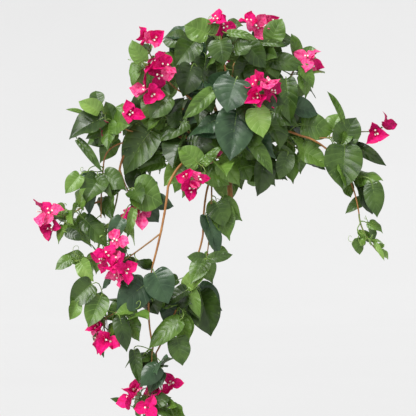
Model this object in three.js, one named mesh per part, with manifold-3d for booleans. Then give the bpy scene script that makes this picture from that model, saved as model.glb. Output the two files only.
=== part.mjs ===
// Artificial hanging bougainvillea bush, in millimetres, +Z up, +Y to the back.
// One plastic-covered wire stem, cut flat at its foot (the origin), carries a hub of wire boughs.
// Each bough ends in a mass: one stem, straight twigs, cut leaves and three-bract flowers, all fused.
import * as THREE from 'three';
import { mergeVertices } from 'three/addons/utils/BufferGeometryUtils.js';
import Module from 'manifold-3d';

// ---- driving sizes ----
const SQUARE = 1.75; // side of one square of the front sheet on which the places are set out
const SIGHT = 3200; // the sheet is set out as seen from this far in front of the stem
const SHEET_MID = [208, 208]; // square of the sheet that faces the eye
const STEM_FOOT = [230.5, 217]; // square of the stem's cut foot, the origin
const CLEAR = 0.3; // gap between a piece and the one that it is seated on
const ROOM = 0.45; // least room kept between a twig, leaf or flower and another node
const LEAF_FLAT = 0.016; // a leaf's thickness at its midrib, over its length
const LEAF_THIN = 0.9; // the least such thickness
const DROOP = 0.18; // how far a leaf's tip drops, over its length
const FOLD = 0.1; // how far a leaf's edges rise from its midrib, over its width
const TWIG_R = 0.85; // a twig's radius
const STALK_R = 0.75; // a flower stalk's radius
const STEM_END = 0.95; // the share of a mass's stem that carries twigs
const SHARPEST = -0.2; // cosine of the sharpest bend between a stalk and its leaf or flower
const CHIEF_SHARPEST = -0.75; // the same for a chief leaf
const STRAY = 0.5; // how far a limb's straight steps stray from its curve
const SUNK = 0.1; // how far past the middle of its host a stalk's root is sunk
const EASE = 0.1; // facets smaller than this are smoothed away where pieces join
const WELD = 0.002; // points closer than this are one
const STEM_R = [1.5, 1.0]; // a mass's stem, radius at foot and at tip
const BRACT = [22, 29]; // length of a bract, least and most
const BRACT_WIDE = 0.74; // a bract's width over its length
const CUP = 0.45; // how far a bract leans forward over its length
const RING = [0, 0, 6, 10, 13]; // how far flowers stand from the middle of 1, 2, 3, 4 of them
const TURN = THREE.MathUtils.degToRad(137.5); // from one twig to the next round a stem
const TRIES = 10; // places tried for a twig, leaf or flower before it is left out
const FORWARD = 6; // how many of a chief leaf's places lie before its stem, the others behind it
const FOOT = 3.5; // the length of a stalk, from its root, that may lie in its own node's pieces
const CHIEF_FOOT = 10; // the same for a chief leaf's, and for a side leaf's
const SIDE_FOOT = 2.5;
const BARK = '#6e4a33'; // colours of the stem's cover, the boughs' cover, and the old and fresh foliage
const COVER = '#a9744a';
const OLD_GREEN = '#2f5032';
const FRESH_GREEN = '#729a50';

// A limb: its carrier, how far along that it starts, its via and tip places [u, v, y], its radii.
const LIMBS = {
  trunk: [null, 0, [229.625, 180, 0], [227, 141, 0], 5, 4],
  left_bough: ['trunk', 0.86, [197, 139, -26], [158, 138, -40], 2.4, 2.1],
  left_arch: ['left_bough', 1, [128.5, 149, -50], [119, 181, -56], 2.1, 1.9],
  left_elbow: ['left_arch', 1, [111, 195.5, -58], [84, 206, -60], 1.9, 1.7],
  left_hang: ['left_arch', 0.3, [112.5, 147, -55], [103.5, 166, -57], 1.4, 1.2],
  front_bough: ['trunk', 0.74, [192, 157, -66], [168, 187, -94], 2.3, 2.1],
  front_trail: ['front_bough', 1, [162.5, 224, -100], [153, 264, -102], 2.1, 1.8],
  front_low: ['dark_low', 1, [149.3, 324, -101], [153, 347, -98], 1.7, 1.5],
  mid_bough: ['trunk', 0.66, [210, 180, -36], [203, 234, -48], 2, 1.7],
  mid_trail: ['mid_bough', 1, [198, 254, -50], [188, 275, -52], 1.7, 1.5],
  mid_low: ['mid_spray', 1, [167, 332, -74], [156, 353, -84], 1.5, 1.4],
  right_bough: ['trunk', 0.9, [262, 130, -16], [301, 136, -30], 2.3, 1.9],
  right_low: ['right_bough', 1, [316, 141.5, -34], [331, 153, -38], 1.9, 1.6],
  right_drop: ['heart_spray', 1, [355.5, 196, -44], [359, 214, -45], 1.4, 1.2],
  top_bough: ['trunk', 1, [229, 104, -14], [224, 62, -22], 2.2, 1.7],
  top_right_bough: ['trunk', 0.96, [247, 108, 16], [262, 66, 16], 2.1, 1.6],
  top_left_bough: ['trunk', 0.93, [212, 103, 16], [195, 70, 20], 2.1, 1.6],
  upper_left_bough: ['trunk', 0.8, [206, 115, -30], [178, 90, -52], 2.1, 1.6],
  upper_right_bough: ['trunk', 0.83, [264, 112, 26], [289, 80, 18], 2.1, 1.6],
  centre_bough: ['trunk', 0.77, [240, 124, -48], [250, 107, -84], 2, 1.6],
  back_left_bough: ['trunk', 0.78, [205, 124, 34], [180, 108, 58], 2.1, 1.6],
  back_right_bough: ['trunk', 0.72, [255, 124, 32], [276, 110, 54], 2.1, 1.6],
  back_bough: ['trunk', 0.88, [229, 108, 38], [232, 78, 58], 2.1, 1.6],
};

// A mass: its stem as above, its count of leaves, their lengths from foot to tip, how far twigs reach,
// the stem's bare share, how fresh its green is, its blooms [u, v, y, flowers] and its chief leaves
// [u and v of base, u and v of tip, width]. A mass's seed is its place in this list.
const MASSES = {
  top_spray: [
    'top_bough', 1, [222, 44, -24], [221, 26, -24], 8, [44, 30], 30, 0, 0.45,
    [[220, 23, -26, 2]],
    [[208, 34, 184, 26, 23], [220, 40, 223, 65, 22], [228, 33, 258, 38, 8]],
  ],
  top_right_spray: [
    'top_right_bough', 1, [262, 50, 14], [264, 36, 10], 10, [54, 32], 30, 0, 0.35,
    [[252, 25, 4, 2], [270, 25, 10, 1]],
    [[271, 42, 283, 19, 20], [262, 43, 287, 45, 7], [246, 44, 266, 68, 20]],
  ],
  top_left_spray: [
    'top_left_bough', 1, [190, 54, 22], [194, 40, 24], 10, [64, 44], 30, 0, 0.2,
    [],
    [[196, 40, 176, 66, 24], [206, 58, 199, 98, 22]],
  ],
  upper_left_spray: [
    'upper_left_bough', 1, [162, 74, -62], [148, 50, -62], 10, [50, 32], 28, 0.1, 0.55,
    [[160, 69, -80, 3], [150, 93, -78, 2], [150, 40, -94, 2]],
    [[136, 63, 133, 84, 11], [143, 62, 130, 41, 15]],
  ],
  upper_right_spray: [
    'upper_right_bough', 1, [297, 66, 14], [306, 60, 10], 10, [52, 32], 28, 0, 0.4,
    [[310, 60, 8, 2]],
    [[271, 61, 305, 66, 17], [302, 66, 313, 88, 13], [299, 60, 290, 34, 11]],
  ],
  centre_spray: [
    'centre_bough', 1, [254, 100, -98], [260, 92, -108], 6, [50, 36], 26, 0, 0.3,
    [[263, 90, -120, 4]],
    [[256, 108, 262, 138, 22]],
  ],
  crown_front: [
    'trunk', 0.7, [234, 130, -58], [230, 104, -84], 10, [74, 54], 34, 0.35, 0.25,
    [],
    [
      [237, 110, 231, 161, 34],
      [236, 79, 226, 112, 34],
      [213, 91, 185, 121, 14],
      [251, 141, 274, 173, 13],
    ],
  ],
  crown_mid: [
    'trunk', 0.99, [216, 108, -30], [206, 88, -38], 10, [64, 46], 34, 0.35, 0.15,
    [],
    [[192, 66, 182, 96, 24]],
  ],
  crown_right: [
    'trunk', 0.92, [262, 116, -18], [288, 98, -14], 12, [66, 44], 34, 0.35, 0.2,
    [],
    [[286, 79, 291, 124, 20]],
  ],
  crown_low: [
    'trunk', 0.6, [248, 160, -30], [270, 160, -36], 12, [58, 38], 32, 0.12, 0.3,
    [],
    [[266, 160, 257, 196, 20], [288, 154, 280, 180, 16], [238, 156, 250, 181, 24]],
  ],
  left_inner: [
    'left_bough', 0.45, [176, 124, -52], [160, 112, -56], 8, [54, 42], 28, 0.1, 0.3,
    [],
    [[168, 96, 150, 119, 22], [187, 122, 158, 140, 16]],
  ],
  left_under: [
    'left_bough', 0.7, [160, 148, -14], [140, 154, -8], 9, [66, 46], 26, 0.1, 0.3,
    [],
    [
      [153, 128, 122, 173, 32],
      [190, 147, 139, 157, 13],
      [165, 162, 138, 170, 14],
      [184, 163, 163, 185, 18],
    ],
  ],
  left_tip_spray: [
    'left_arch', 0.06, [122, 128, -52], [98, 118, -52], 12, [56, 32], 30, 0.4, 0.55,
    [[130, 115, -64, 2], [113, 131, -62, 1]],
    [
      [103, 118, 69, 139, 26],
      [99, 112, 79, 101, 15],
      [113, 121, 107, 101, 12],
      [78, 140, 103, 172, 8],
      [84, 113, 66, 109, 4],
    ],
  ],
  left_dark: [
    'left_hang', 1, [101.5, 190, -66], [101, 218, -70], 8, [54, 38], 24, 0, 0.25,
    [],
    [[88, 172, 88, 216, 15], [80, 175, 66, 194, 15], [98, 175, 112, 198, 8]],
  ],
  far_left_spray: [
    'left_elbow', 1, [76, 211, -62], [64, 217, -64], 9, [48, 32], 26, 0, 0.5,
    [[48, 212, -72, 2], [52, 230, -72, 1]],
    [[84, 219, 108, 246, 19]],
  ],
  left_drop: [
    'left_elbow', 0.18, [110, 222, -60], [88, 264, -64], 12, [44, 32], 28, 0.3, 0.65,
    [],
    [[71, 259, 55, 269, 12], [80, 262, 94, 281, 15], [66, 232, 82, 240, 10]],
  ],
  round_spray: [
    'left_arch', 0.85, [132, 198, -66], [146, 208, -70], 6, [56, 42], 22, 0.15, 0.3,
    [[137, 217, -72, 2]],
    [[134, 190, 163, 203, 32], [134, 209, 127, 238, 8], [122, 218, 108, 243, 14]],
  ],
  side_spray: [
    'front_trail', 0.62, [136, 252, -110], [112, 268, -116], 7, [40, 30], 22, 0.45, 0.4,
    [[116, 240, -128, 1], [105, 256, -126, 2], [120, 269, -130, 3]],
    [],
  ],
  dark_low: [
    'front_trail', 1, [149, 288, -104], [148.5, 303, -103], 6, [58, 46], 24, 0, 0.15,
    [],
    [[146, 284, 117, 311, 28], [154, 272, 168, 304, 27]],
  ],
  lower_left_spray: [
    'dark_low', 0.55, [128, 306, -108], [104, 318, -108], 14, [46, 32], 30, 0.25, 0.5,
    [[104, 337, -112, 3]],
    [[92, 284, 69, 305, 21], [101, 296, 90, 328, 20], [77, 303, 70, 320, 12], [120, 318, 126, 352, 15]],
  ],
  front_low_spray: [
    'trunk', 0.68, [206, 160, -60], [190, 170, -88], 9, [58, 40], 28, 0.3, 0.5,
    [[193, 183, -104, 3]],
    [[199, 164, 178, 148, 20], [204, 164, 222, 146, 9]],
  ],
  front_hang: [
    'mid_bough', 0.45, [211, 214, -66], [207, 256, -68], 8, [58, 44], 20, 0.12, 0.25,
    [],
    [
      [206, 215, 218, 258, 16],
      [216, 203, 226, 226, 22],
      [204, 259, 187, 257, 10],
      [209, 259, 233, 256, 10],
    ],
  ],
  mid_spray: [
    'mid_trail', 1, [188, 292, -56], [176, 310, -60], 12, [58, 36], 30, 0, 0.4,
    [],
    [
      [186, 287, 206, 270, 15],
      [190, 288, 199, 318, 12],
      [187, 290, 163, 307, 14],
      [200, 292, 212, 336, 30],
      [180, 320, 148, 347, 19],
      [177, 337, 181, 366, 20],
    ],
  ],
  low_spray: [
    'front_low', 1, [152, 358, -99], [151, 376, -100], 8, [50, 36], 28, 0, 0.35,
    [],
    [[134, 350, 138, 384, 11]],
  ],
  bottom_left: [
    'low_spray', 1, [148, 394, -100], [141, 412, -100], 7, [46, 34], 24, 0.2, 0.5,
    [[134, 397, -108, 2], [149, 408, -114, 1]],
    [[129, 405, 110, 399, 6]],
  ],
  bottom_right: [
    'mid_low', 1, [160, 382, -88], [167, 416, -90], 6, [40, 30], 20, 0.7, 0.55,
    [[159, 387, -84, 1], [174, 385, -82, 1]],
    [],
  ],
  flower_tip: [
    'right_bough', 0.97, [322, 138, -30], [352, 133, -34], 8, [46, 32], 26, 0.55, 0.5,
    [[377, 131, -46, 2]],
    [[342, 143, 355, 117, 24], [343, 120, 328, 91, 6]],
  ],
  heart_spray: [
    'right_low', 1, [343, 165, -40], [349.5, 179, -42], 6, [56, 44], 22, 0, 0.3,
    [],
    [
      [345, 146, 342, 190, 34],
      [353, 146, 387, 164, 12],
      [372, 183, 378, 217, 18],
      [365, 199, 345, 212, 11],
    ],
  ],
  right_end: [
    'right_drop', 1, [364, 232, -47], [378, 252, -50], 8, [30, 20], 20, 0.1, 0.8,
    [],
    [[375, 243, 385, 260, 5]],
  ],
  right_short: [
    'right_bough', 0.72, [290, 143, -8], [312, 158, -4], 9, [48, 32], 24, 0.3, 0.65,
    [],
    [[302, 125, 333, 133, 24], [300, 150, 328, 166, 20]],
  ],
  back_left_spray: [
    'back_left_bough', 1, [166, 104, 76], [154, 118, 92], 12, [70, 44], 46, 0, 0.3,
    [[152, 110, 118, 3]],
    [],
  ],
  back_right_spray: [
    'back_right_bough', 1, [284, 106, 74], [284, 124, 94], 12, [70, 44], 46, 0, 0.3,
    [[284, 104, 116, 3]],
    [],
  ],
  back_top_spray: [
    'back_bough', 1, [234, 64, 72], [238, 58, 92], 12, [70, 44], 46, 0, 0.3,
    [[232, 70, 118, 3]],
    [],
  ],
  back_low_spray: [
    'trunk', 0.62, [226, 146, 48], [222, 160, 86], 12, [70, 44], 44, 0.3, 0.3,
    [[212, 158, 112, 3]],
    [],
  ],
  tail_left: [
    'bottom_left', 1, [136, 436, -98], [138, 462, -96], 8, [44, 26], 22, 0.1, 0.7,
    [[133, 452, -104, 2]],
    [],
  ],
  tail_right: [
    'bottom_right', 1, [170, 440, -90], [163, 476, -88], 9, [44, 26], 22, 0.1, 0.7,
    [[170, 462, -96, 2]],
    [],
  ],
};

const wasm = await Module();
wasm.setup();

// ---- places, routes and seeded numbers ----
const vec = (x, y, z) => new THREE.Vector3(x, y, z);
const UP = vec(0, 0, 1);
const mix = (...parts) => {
  const sum = vec(0, 0, 0);
  for (const [v, k] of parts) sum.addScaledVector(v, k);
  return sum;
};
const unit = (v) => v.clone().normalize();
const cross = (a, b) => vec(0, 0, 0).crossVectors(a, b);

function place([u, v, y]) {
  const k = (SQUARE * (SIGHT + y)) / SIGHT;
  const x = (SHEET_MID[0] - STEM_FOOT[0]) * SQUARE;
  const z = (STEM_FOOT[1] - SHEET_MID[1]) * SQUARE;
  return vec(x + (u - SHEET_MID[0]) * k, y, z - (v - SHEET_MID[1]) * k);
}

// A quadratic arc that runs through its foot, its via place (half way) and its tip.
class Route {
  constructor(foot, via, tip) {
    this.a = foot;
    this.b = mix([via, 2], [foot, -0.5], [tip, -0.5]);
    this.c = tip;
  }
  at(t) {
    return mix([this.a, (1 - t) ** 2], [this.b, 2 * t * (1 - t)], [this.c, t * t]);
  }
  way(t) {
    return unit(mix([this.a, t - 1], [this.b, 1 - 2 * t], [this.c, t]));
  }
}

const routes = {};
function route(name) {
  if (!routes[name]) {
    const [carrier, share, via, tip] = LIMBS[name] || MASSES[name];
    const foot = carrier ? route(carrier).at(share) : place([...STEM_FOOT, 0]);
    routes[name] = new Route(foot, place(via), place(tip));
  }
  return routes[name];
}

// A seeded run of numbers from 0 to 1.
class Dice {
  constructor(seed) {
    this.state = (Math.imul(seed, 2654435761) + 12345) >>> 0;
    this.roll();
    this.roll();
  }
  roll() {
    this.state = (Math.imul(this.state, 1664525) + 1013904223) >>> 0;
    return this.state / 4294967296;
  }
  span(least, most) {
    return least + (most - least) * this.roll();
  }
}

// Two directions square to an axis and to each other.
function across(axis) {
  const u = unit(cross(axis, Math.abs(axis.z) > 0.7 ? vec(0, -1, 0) : UP));
  return [u, cross(u, axis)];
}

// ---- solids ----
// A closed surface as a solid with its faces outward.
function closed(points, triangles) {
  const make = (tris) =>
    new wasm.Manifold(
      new wasm.Mesh({
        numProp: 3,
        vertProperties: new Float32Array(points.flatMap((p) => [p.x, p.y, p.z])),
        triVerts: new Uint32Array(tris.flat()),
      }),
    );
  const solid = make(triangles);
  return solid.volume() < 0 ? make(triangles.map(([a, b, c]) => [a, c, b])) : solid;
}

// Rings of equal count, joined side by side and capped flat at both ends.
function lofted(rings) {
  const n = rings[0].length;
  const tris = [];
  for (let i = 0; i + 1 < rings.length; i++)
    for (let j = 0; j < n; j++) {
      const [p, q] = [i * n + j, i * n + ((j + 1) % n)];
      tris.push([p, q, q + n], [p, q + n, p + n]);
    }
  const last = (rings.length - 1) * n;
  for (let j = 1; j + 1 < n; j++) tris.push([0, j + 1, j], [last, last + j, last + j + 1]);
  return closed(rings.flat(), tris);
}

function ring(centre, u, v, r, sides) {
  return Array.from({ length: sides }, (_, j) => {
    const a = (2 * Math.PI * (j + 0.5)) / sides;
    return mix([centre, 1], [u, r * Math.cos(a)], [v, r * Math.sin(a)]);
  });
}

// A tapering round limb along a route, in as few straight steps as leave it within STRAY of the
// route; grow makes it fatter and longer all round.
function limb(path, r0, r1, sides, grow = 0) {
  const sag = mix([path.a, 1], [path.b, -2], [path.c, 1]).length() / 4;
  const steps = Math.max(2, Math.ceil(Math.sqrt(sag / STRAY)));
  const bend = cross(mix([path.b, 1], [path.a, -1]), mix([path.c, 1], [path.b, -1]));
  const u = bend.length() > 1e-3 ? unit(bend) : across(path.way(0.5))[0];
  const rings = [];
  for (let i = 0; i <= steps; i++) {
    const t = i / steps;
    const way = path.way(t);
    const end = i === 0 ? -grow : i === steps ? grow : 0;
    const centre = mix([path.at(t), 1], [way, end]);
    rings.push(ring(centre, u, cross(way, u), r0 + (r1 - r0) * t + grow, sides));
  }
  return lofted(rings);
}

// Three corners of a stalk round a point, square to along, lying towards the given ways.
function corners(centre, along, ways, r) {
  return ways.map((w) => mix([centre, 1], [unit(mix([w, 1], [along, -along.dot(w)])), r]));
}

// The same corners carried from one point to another, and turned from one way to the other.
function carried(points, from, to, way, newWay) {
  const turn = new THREE.Quaternion().setFromUnitVectors(way, newWay);
  return points.map((p) => mix([p, 1], [from, -1]).applyQuaternion(turn).add(to));
}

// A leaf's point: x along it and w across it, as shares of its length and width.
function onLeaf(leaf, x, w) {
  const side = cross(leaf.way, leaf.face);
  return mix(
    [leaf.base, 1],
    [leaf.way, x * leaf.length],
    [side, w * leaf.width],
    [leaf.face, 2 * FOLD * Math.abs(w) * leaf.width],
    [UP, -DROOP * x * x * leaf.length],
  );
}

// Half outlines of a leaf, (x, w) from its base to its tip: one at a twig's tip, one on its side.
const FULL = [[0.16, 0.47], [0.62, 0.41]];
const KITE = [[0.4, 0.52]];

// A leaf and its three-sided stalk as one body, from the stalk's sunk root to the leaf's tip.
function leafSolid(leaf, grow = 0, root = leaf.root) {
  const half = leaf.aside ? KITE : FULL;
  const thick = Math.max(LEAF_THIN, LEAF_FLAT * leaf.length) / 2 + grow;
  const [gx, gw] = [grow / leaf.length, grow / leaf.width];
  const stalk = unit(mix([leaf.base, 1], [root, -1]));
  const side = cross(leaf.way, leaf.face);
  const elbow = unit(mix([stalk, 1], [leaf.way, 1]));
  const ways = [side, mix([side, -1]), mix([leaf.face, -1])];
  const neck = corners(leaf.base, elbow, ways, TWIG_R + grow);
  const outline = [
    ...half.map(([x, w]) => onLeaf(leaf, x, w + gw)),
    onLeaf(leaf, 1 + gx, 0),
    ...half.toReversed().map(([x, w]) => onLeaf(leaf, x, -w - gw)),
  ];
  const middle = onLeaf(leaf, 0.4, 0);
  const points = [
    ...carried(neck, leaf.base, mix([root, 1], [stalk, -SUNK]), elbow, stalk),
    ...neck,
    ...outline,
    mix([middle, 1], [leaf.face, thick]),
    mix([middle, 1], [leaf.face, -thick]),
  ];
  const [top, under] = [points.length - 2, points.length - 1];
  const edge = [3, ...outline.map((_, i) => 6 + i), 4];
  const rim = (loop, apex, flip) =>
    loop.map((p, i) => {
      const q = loop[(i + 1) % loop.length];
      return flip ? [q, p, apex] : [p, q, apex];
    });
  const tris = [[0, 1, 2], ...rim(edge, top, false), ...rim([...edge, 5], under, true)];
  for (const [p, q] of [[3, 4], [4, 5], [5, 3]]) tris.push([p, q, q - 3], [p, q - 3, p - 3]);
  return closed(points, tris);
}

// A flower's bract: its way out from the middle, the way across it and its bearing.
function bractWays(flower, i) {
  const [u, v] = across(flower.axis);
  const a = flower.spin + (i * 2 * Math.PI) / 3;
  const out = mix([u, Math.cos(a)], [v, Math.sin(a)]);
  return [unit(mix([out, 1], [flower.axis, CUP])), cross(out, flower.axis), out];
}

// A flower and its stalk as one body: three bracts round one middle, with a notch between each two.
function flowerSolid(flower, grow = 0, root = flower.root) {
  const { centre, axis } = flower;
  const [long, wide] = [flower.size + grow, (BRACT_WIDE * flower.size) / 2 + grow];
  const ways = [0, 1, 2].map((i) => bractWays(flower, i));
  const outline = ways.flatMap(([way, side], i) => [
    mix([centre, 1], [way, 0.45 * long], [side, -wide]),
    mix([centre, 1], [way, long]),
    mix([centre, 1], [way, 0.45 * long], [side, wide]),
    mix([centre, 1], [way, 2.6 + grow], [ways[(i + 1) % 3][0], 2.6 + grow]),
  ]);
  const outs = ways.map(([, , out]) => out);
  const heel = mix([centre, 1], [axis, -1.3 - grow]);
  const neck = corners(heel, axis, outs, STALK_R + grow);
  const stalk = unit(mix([heel, 1], [root, -1]));
  const points = [
    ...outline,
    mix([centre, 1], [axis, 1.3 + grow]),
    ...neck,
    ...carried(neck, heel, mix([root, 1], [stalk, -SUNK]), axis, stalk),
  ];
  const tris = [[16, 18, 17]];
  for (let i = 0; i < 3; i++) {
    const [r, t, l, n, r2] = [4 * i, 4 * i + 1, 4 * i + 2, 4 * i + 3, (4 * i + 4) % 12];
    const [b, b2] = [13 + i, 13 + ((i + 1) % 3)];
    tris.push([r, t, 12], [t, l, 12], [l, n, 12], [n, r2, 12]);
    tris.push([t, r, b], [l, t, b], [n, l, b], [r2, n, b2], [b2, n, b]);
    tris.push([b2, b, b + 3], [b2, b + 3, b2 + 3]);
  }
  return closed(points, tris);
}

// ---- the seeded rule: what grows on a mass's stem ----
function facing(stem) {
  const mid = stem.at(0.5);
  const front = mid.y < 30 ? -1 : 1;
  return [front, unit(vec(mid.x / 300, front, 0.3))];
}

// The stem's nearest point to a place on the front sheet, out of those past its bare foot.
function nearest(stem, bare, cost) {
  let best = null;
  for (let q = Math.floor(bare * 20); q <= 20 * STEM_END; q++) {
    const p = stem.at(q / 20);
    if (!best || cost(p) < cost(best)) best = p;
  }
  return best;
}

// A chief leaf: [u, v] of its base and of its tip, and its width in squares.
function chiefLeaf(mass, i, attempt) {
  const [u0, v0, u1, v1, wide] = mass.chief[i];
  const [front] = facing(mass.stem);
  const at = place([u0, v0, 0]);
  const end = place([u1, v1, 0]);
  const behind = mix([at, 1], [unit(mix([at, 1], [end, -1])), 10]);
  const off = (p) => Math.hypot(p.x - behind.x, p.z - behind.z);
  const root = nearest(mass.stem, mass.bare, off);
  const step = attempt < FORWARD ? 12 + 5 * i + 5 * attempt : -8 - 5 * (attempt - FORWARD);
  const y = root.y + front * step;
  const [base, tip] = [place([u0, v0, y]), place([u1, v1, y + front * 6])];
  const dice = new Dice(mass.seed * 53 + i + 900);
  const reach = mix([tip, 1], [base, -1]);
  const [lift, rest] = [DROOP * reach.z, 1 - DROOP ** 2];
  const length = (lift + Math.sqrt(lift ** 2 + rest * reach.lengthSq())) / rest;
  const way = unit(mix([reach, 1], [UP, DROOP * length]));
  const face0 = unit(vec(dice.span(-0.35, 0.35), front, dice.span(0.1, 0.5)));
  const flat = unit(mix([face0, 1], [way, -way.dot(face0)]));
  const shape = { length, width: wide * SQUARE, aside: false };
  return { root, base, way, face: flat, ...shape, sharpest: CHIEF_SHARPEST };
}

// Twig j, from its root on the stem to its tip, where a leaf sits.
function twigOf(mass, j, count, attempt) {
  const dice = new Dice(mass.seed * 97 + j + attempt * 7919);
  const t = Math.min(STEM_END, mass.bare + ((1 - mass.bare) * (j + 0.5 + 0.5 * (j + 1 === count))) / count);
  const root = mass.stem.at(t);
  const ax = mass.stem.way(t);
  const [u, v] = across(ax);
  const turn = TURN * j + dice.span(-1, 1) + mass.seed;
  const way = unit(mix([u, Math.cos(turn)], [v, Math.sin(turn)], [ax, 0.6], [UP, -0.15]));
  const long = mass.reach * dice.span(0.5, 1);
  return [root, mix([root, 1], [way, long], [UP, -0.08 * long])];
}

// Leaf k, on a twig: an even one at its tip, an odd one on its side, on a stalk of its own.
function leafOf(mass, [foot, tip], k, rest, attempt) {
  const dice = new Dice(mass.seed * 131 + k + 50000 + attempt * 7919);
  const [, face] = facing(mass.stem);
  const aside = k % 2 === 1;
  const along = unit(mix([tip, 1], [foot, -1]));
  const share = k / Math.max(1, rest - 1);
  const length = (mass.sizes[0] + (mass.sizes[1] - mass.sizes[0]) * share) * dice.span(0.8, 1.1);
  const lean = vec(dice.span(-0.5, 0.5), dice.span(-0.5, 0.5), dice.span(-0.5, 0.3));
  const stalk = unit(mix([along, 0.6], [unit(cross(along, face)), -0.9], [lean, 1]));
  const root = aside ? mix([foot, 0.4], [tip, 0.6]) : foot;
  const base = aside ? mix([root, 1], [stalk, length * dice.span(0.16, 0.3)]) : tip;
  const lead = aside ? stalk : along;
  const hang = vec(dice.span(-0.8, 0.8), dice.span(-0.35, 0.35), dice.span(-1, 0.5));
  const loose = mix([lead, 0.5], [hang, 1]);
  const way = unit(mix([loose, 1], [lead, Math.max(0, 0.1 - loose.dot(lead))]));
  const tilt = vec(dice.span(-0.75, 0.75), dice.span(-0.3, 0.3), dice.span(-0.3, 0.85));
  const up = mix([face, 1], [tilt, 1]);
  const flat = unit(mix([up, 1], [way, -way.dot(up)]));
  return { root, base, way, face: flat, length, width: length * dice.span(0.7, 0.86), aside };
}

// Flower f of a bloom: count of them stand round one place, each on its own stalk from the stem.
function flowerOf(mass, b, f, attempt) {
  const [u0, v0, y0, count] = mass.blooms[b];
  const [, face] = facing(mass.stem);
  const middle = place([u0, v0, y0]);
  const spin = 2 * Math.PI * new Dice(mass.seed * 31 + b + 500).roll();
  const dice = new Dice(mass.seed * 61 + b * 17 + f * 5 + 700 + attempt * 7919);
  const [u, v] = across(face);
  const a = spin + (f * 2 * Math.PI) / count + dice.span(-0.3, 0.3);
  const out = mix([u, Math.cos(a)], [v, Math.sin(a)]);
  const away = RING[count] * dice.span(0.9, 1.1);
  const centre = mix([middle, 1], [out, away], [face, dice.span(-4, 6) + 2 * attempt]);
  const root = nearest(mass.stem, 0.2, (p) => p.distanceTo(centre));
  const tilt = vec(dice.span(-0.25, 0.25), 0, dice.span(-0.25, 0.25));
  const axis = unit(mix([face, 1], [out, count === 1 ? 0.1 : 0.75], [tilt, 1]));
  return { root, centre, axis, spin: dice.span(0, 2 * Math.PI), size: dice.span(...BRACT) };
}

// ---- building: limbs first, then each mass's chief leaves and blooms, then its twigs ----
const pieces = {}; // node name -> list of { solid, box, bloom }
const apart = (a, b) =>
  [0, 1, 2].some((i) => a.min[i] > b.max[i] + 1e-6 || b.min[i] > a.max[i] + 1e-6);
const boxed = (solid) => ({ solid, box: solid.boundingBox() });
function add(name, solid, bloom) {
  const piece = { ...boxed(solid), bloom };
  (pieces[name] ??= []).push(piece);
  return piece;
}

// True where a new body is clear of every piece. Another node's pieces are met by its whole form,
// its own node's by a form past its root, and those that it grows on by a thinner one past it. The
// flowers of one bloom may cross.
function fits(name, [whole, past, thin], hosts, bloom) {
  return Object.entries(pieces).every(([other, list]) =>
    list.every((piece) => {
      if (other === name && bloom && piece.bloom === bloom) return true;
      const form = other !== name ? whole : hosts.includes(piece) ? thin : past;
      return apart(form.box, piece.box) || form.solid.intersect(piece.solid).volume() < 1e-6;
    }),
  );
}

const largest = (solid) =>
  solid.decompose().reduce((a, b) => (b.volume() > a.volume() ? b : a));

// Each limb and stem, cut clear of those laid down before it.
const fatLimbs = [];
const radii = (name) => (LIMBS[name] ? LIMBS[name].slice(4) : STEM_R);
for (const name of [...Object.keys(LIMBS), ...Object.keys(MASSES)]) {
  const [r0, r1] = radii(name);
  const sides = name === 'trunk' ? 12 : LIMBS[name] ? 6 : 4;
  let solid = limb(route(name), r0, r1, sides);
  const box = solid.boundingBox();
  for (const fat of fatLimbs) if (!apart(box, fat.box)) solid = solid.subtract(fat.solid);
  solid = largest(solid);
  add(name, solid);
  const fat = limb(route(name), r0, r1, sides, CLEAR + 0.02);
  fatLimbs.push({ solid: fat, box: fat.boundingBox() });
}

const masses = Object.entries(MASSES).map(([name, row], i) => {
  const [, , , , count, sizes, reach, bare, , blooms, chief] = row;
  return { name, stem: route(name), count, sizes, reach, bare, blooms, chief, seed: i + 1 };
});

// The first of several tries that is clear of all but the stem or twig that it grows on is kept.
function grow(mass, host, solidOf, make, past, bloom) {
  for (let attempt = 0; attempt < TRIES; attempt++) {
    const made = make(attempt);
    const way = unit(mix([made.base || made.centre, 1], [made.root, -1]));
    if (way.dot(made.way || made.axis) < (made.sharpest ?? SHARPEST)) continue;
    const forms = [[ROOM, 0], [ROOM, past], [0, past + 1.5]].map(([wider, from]) =>
      boxed(solidOf(made, wider, mix([made.root, 1], [way, from]))),
    );
    if (fits(mass.name, forms, [pieces[mass.name][0], host], bloom))
      return { ...made, piece: add(mass.name, solidOf(made), bloom) };
  }
  return null;
}

for (const mass of masses) {
  const [stem] = pieces[mass.name];
  mass.blooms.forEach(([, , , count], b) => {
    for (let f = 0; f < count; f++)
      grow(mass, stem, flowerSolid, (attempt) => flowerOf(mass, b, f, attempt), FOOT, b + 1);
  });
  mass.chief.forEach((_, i) =>
    grow(mass, stem, leafSolid, (attempt) => chiefLeaf(mass, i, attempt), CHIEF_FOOT),
  );
}
for (const mass of masses) {
  const [stem] = pieces[mass.name];
  const rest = mass.count - mass.chief.length;
  const twigs = Math.ceil(rest / 2);
  for (let j = 0; j < twigs; j++) {
    const tipLeaf = (attempt) => leafOf(mass, twigOf(mass, j, twigs, attempt), 2 * j, rest, attempt);
    const made = grow(mass, stem, leafSolid, tipLeaf, FOOT);
    if (!made || 2 * j + 1 >= rest) continue;
    const sideLeaf = (attempt) => leafOf(mass, [made.root, made.base], 2 * j + 1, rest, attempt);
    grow(mass, made.piece, leafSolid, sideLeaf, SIDE_FOOT);
  }
}

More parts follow.
